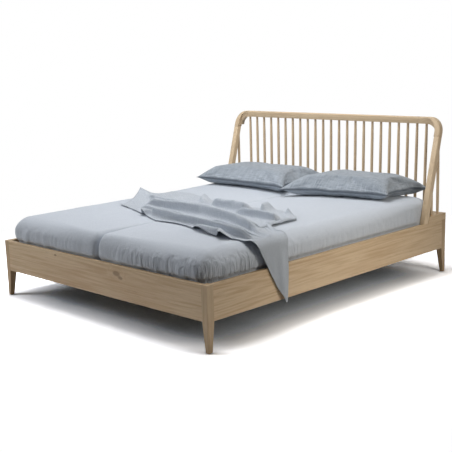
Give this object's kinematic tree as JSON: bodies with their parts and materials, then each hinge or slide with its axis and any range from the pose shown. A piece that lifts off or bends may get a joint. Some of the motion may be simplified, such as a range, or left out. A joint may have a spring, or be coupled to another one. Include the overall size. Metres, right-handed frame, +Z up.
{
  "type": "spindle bed",
  "caption": "Oak double bed with a spindle headboard whose raking arms bend into the top rail, on slats, with mattresses, fitted sheets, pillows and a throw.",
  "frame": {"origin": "on the floor, below the middle of the bed", "axes": "+Y from the foot towards the headboard, +Z up, +X across the bed to the side where the throw hangs over the rail"},
  "size_m": [1.8963, 2.266, 1.054],
  "materials": {
    "oak_frame": "matt clear-oiled oak, long straight grain along each rail and leg",
    "oak_headboard": "matt clear-oiled oak, grain along each arm, corner and rail",
    "oak_spindles": "turned oak, matt clear oil",
    "pine_support": "planed pine, unfinished",
    "birch_slats": "bent birch plywood slats, clear varnish",
    "slat_tape": "woven webbing",
    "zinc_steel": "zinc-plated steel",
    "glide_plastic": "moulded nylon glide",
    "mattress_ticking": "white knitted ticking",
    "sheet_cotton": "soft pale blue-grey cotton, fine crumples",
    "pillow_linen": "heathered blue-grey woven cover",
    "throw_cotton": "light crumpled blue-grey weave"
  },
  "bodies": {
    "root": {"arm_left": "oak_headboard", "arm_right": "oak_headboard", "base_back": "oak_headboard", "base_left": "oak_headboard", "base_right": "oak_headboard", "beam_saddles": "zinc_steel", "centre_beam": "pine_support", "centre_leg": "pine_support", "corner_brackets": "zinc_steel", "corner_left": "oak_headboard", "corner_right": "oak_headboard", "corner_spindle_left": "oak_spindles", "corner_spindle_right": "oak_spindles", "floor_glides": "glide_plastic", "foot_rail": "oak_frame", "head_rail": "oak_frame", "leg_bolts": "zinc_steel", "leg_foot_left": "oak_frame", "leg_foot_right": "oak_frame", "leg_head_left": "oak_frame", "leg_head_right": "oak_frame", "mattress_left": "mattress_ticking", "mattress_right": "mattress_ticking", "pillow_left": "pillow_linen", "pillow_right": "pillow_linen", "screws": "zinc_steel", "sheet_left": "sheet_cotton", "sheet_right": "sheet_cotton", "side_rail_left": "oak_frame", "side_rail_right": "oak_frame", "side_spindle_left": "oak_spindles", "side_spindle_right": "oak_spindles", "slat_ledgers": "pine_support", "slat_tapes": "slat_tape", "slats": "birch_slats", "spindle_01": "oak_spindles", "spindle_02": "oak_spindles", "spindle_03": "oak_spindles", "spindle_04": "oak_spindles", "spindle_05": "oak_spindles", "spindle_06": "oak_spindles", "spindle_07": "oak_spindles", "spindle_08": "oak_spindles", "spindle_09": "oak_spindles", "spindle_10": "oak_spindles", "spindle_11": "oak_spindles", "spindle_12": "oak_spindles", "spindle_13": "oak_spindles", "spindle_14": "oak_spindles", "spindle_15": "oak_spindles", "spindle_16": "oak_spindles", "spindle_17": "oak_spindles", "spindle_18": "oak_spindles", "spindle_19": "oak_spindles", "spindle_20": "oak_spindles", "spindle_21": "oak_spindles", "spindle_22": "oak_spindles", "spindle_23": "oak_spindles", "throw": "throw_cotton", "top_rail": "oak_headboard"}
  },
  "joints": []
}
